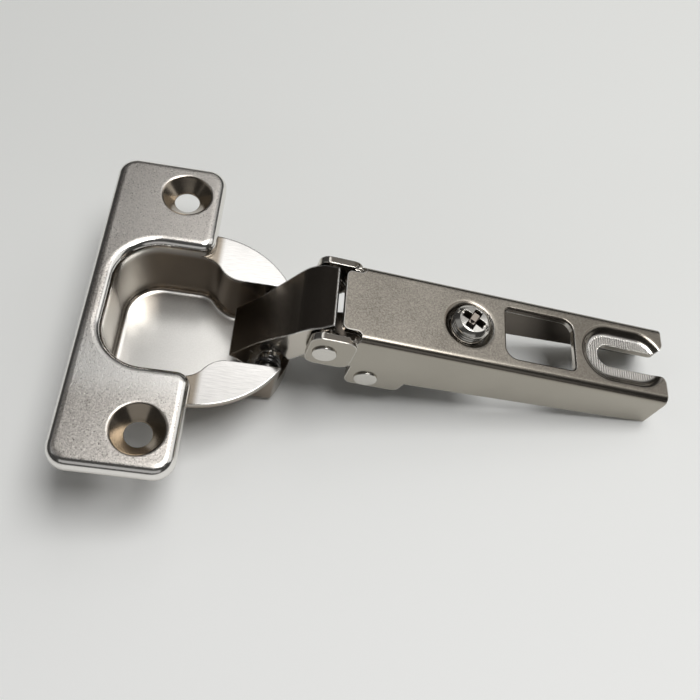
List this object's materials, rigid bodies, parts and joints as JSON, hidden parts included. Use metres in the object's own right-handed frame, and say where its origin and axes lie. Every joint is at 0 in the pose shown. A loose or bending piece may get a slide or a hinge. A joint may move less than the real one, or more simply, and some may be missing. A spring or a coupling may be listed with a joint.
{
  "type": "concealed hinge",
  "caption": "Concealed cabinet hinge with a round drilled-in cup, a screw flange, a pair of links and a slide-on channel arm with an adjusting screw and an open fixing slot.",
  "frame": {"origin": "on the axis of the drilled-in cup, in the plane of the door face under the flange", "axes": "+Z out of the door along the cup axis, +X towards the open arm, +Y along the flange"},
  "size_m": [0.1029, 0.0628, 0.0244],
  "materials": {
    "plated_steel": "nickel plated, satin with polished edges",
    "pin_steel": "nickel plated, smooth",
    "spring_steel": "drawn wire",
    "screw_steel": "bright nickel"
  },
  "bodies": {
    "cup": {"cup": "plated_steel", "cup_pin_outer": "pin_steel", "cup_pin_inner": "pin_steel", "closing_spring_near": "spring_steel", "closing_spring_far": "spring_steel"},
    "outer_link": {"outer_link": "plated_steel"},
    "arm": {"arm": "plated_steel", "arm_pin_front": "pin_steel", "arm_pin_rear": "pin_steel"},
    "inner_link": {"inner_link": "plated_steel"},
    "adjusting_screw": {"adjusting_screw": "screw_steel"}
  },
  "joints": [
    {"name": "fold", "type": "hinge", "parent": "cup", "child": "outer_link", "pos_m": [0.0108, 0, -0.0056], "axis": [0, -1, 0], "range_deg": [0, 100]},
    {"name": "arm_swing", "type": "hinge", "parent": "outer_link", "child": "arm", "pos_m": [0.022, 0, 0.0069], "axis": [0, -1, 0], "range_deg": [-3.7, 0]},
    {"name": "inner_swing", "type": "hinge", "parent": "cup", "child": "inner_link", "pos_m": [0.013, 0, -0.002], "axis": [0, -1, 0], "range_deg": [0, 120]},
    {"name": "screw_turn", "type": "hinge", "parent": "arm", "child": "adjusting_screw", "pos_m": [0.04639, 0, 0.00929], "axis": [0.1104, 0, 0.9939], "range_deg": [-360, 360]}
  ],
  "couplings": [
    {"joint": "arm_swing", "follows": "fold", "ratio": -0.0366},
    {"joint": "inner_swing", "follows": "fold", "ratio": 1.2}
  ]
}
